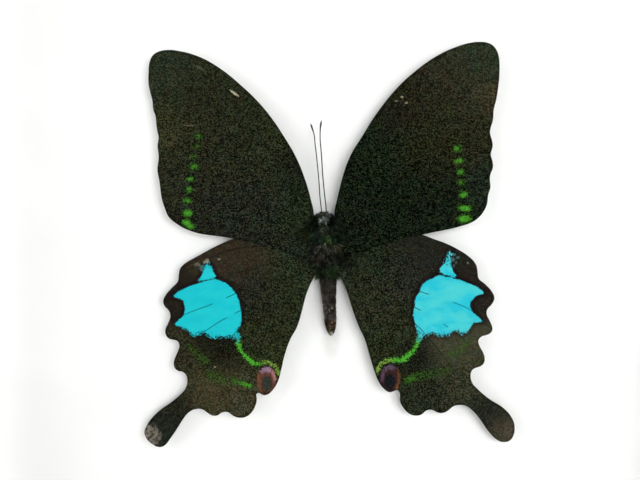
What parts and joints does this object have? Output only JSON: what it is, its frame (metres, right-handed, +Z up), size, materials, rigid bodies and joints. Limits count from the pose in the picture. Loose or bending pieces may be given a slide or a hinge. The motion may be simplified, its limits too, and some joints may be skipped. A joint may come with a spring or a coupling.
{
  "type": "framed butterfly specimen",
  "caption": "Square box frame with a glazed front, showing a spread swallowtail butterfly mounted on a white board, with a hanger and bumpers behind.",
  "frame": {"origin": "on the underside of the bottom rail, under the middle of the bounding box", "axes": "+Z up along the frame's height, -Y out through the glass, +X to the viewer's right seen from the front"},
  "size_m": [0.2, 0.039, 0.2],
  "materials": {
    "wood": "dark stained, satin wax",
    "glass": "clear float glass",
    "white_card": "matt white",
    "hardboard": "plain brown pressed fibre",
    "steel": "zinc plated",
    "rubber": "matt black",
    "forewing": "fine dry scales, near black with green dusting",
    "hindwing": "fine dry scales, near black with a turquoise patch",
    "insect_body": "dark fur over dry shell"
  },
  "bodies": {
    "root": {"frame_rail_bottom": "wood", "frame_rail_left": "wood", "frame_rail_top": "wood", "frame_rail_right": "wood", "glass_pane": "glass", "spacer_bottom": "white_card", "spacer_top": "white_card", "spacer_left": "white_card", "spacer_right": "white_card", "mount_board": "white_card", "back_panel": "hardboard", "framer_point_1": "steel", "framer_point_2": "steel", "framer_point_3": "steel", "framer_point_4": "steel", "framer_point_5": "steel", "framer_point_6": "steel", "framer_point_7": "steel", "framer_point_8": "steel", "sawtooth_hanger": "steel", "hanger_nail_left": "steel", "hanger_nail_right": "steel", "bumper_left": "rubber", "bumper_right": "rubber", "forewing_left": "forewing", "forewing_right": "forewing", "hindwing_left": "hindwing", "hindwing_right": "hindwing", "body": "insect_body", "antenna_left": "insect_body", "antenna_right": "insect_body", "leg_front_left": "insect_body", "leg_front_right": "insect_body", "leg_middle_left": "insect_body", "leg_middle_right": "insect_body", "leg_hind_left": "insect_body", "leg_hind_right": "insect_body"}
  },
  "joints": []
}
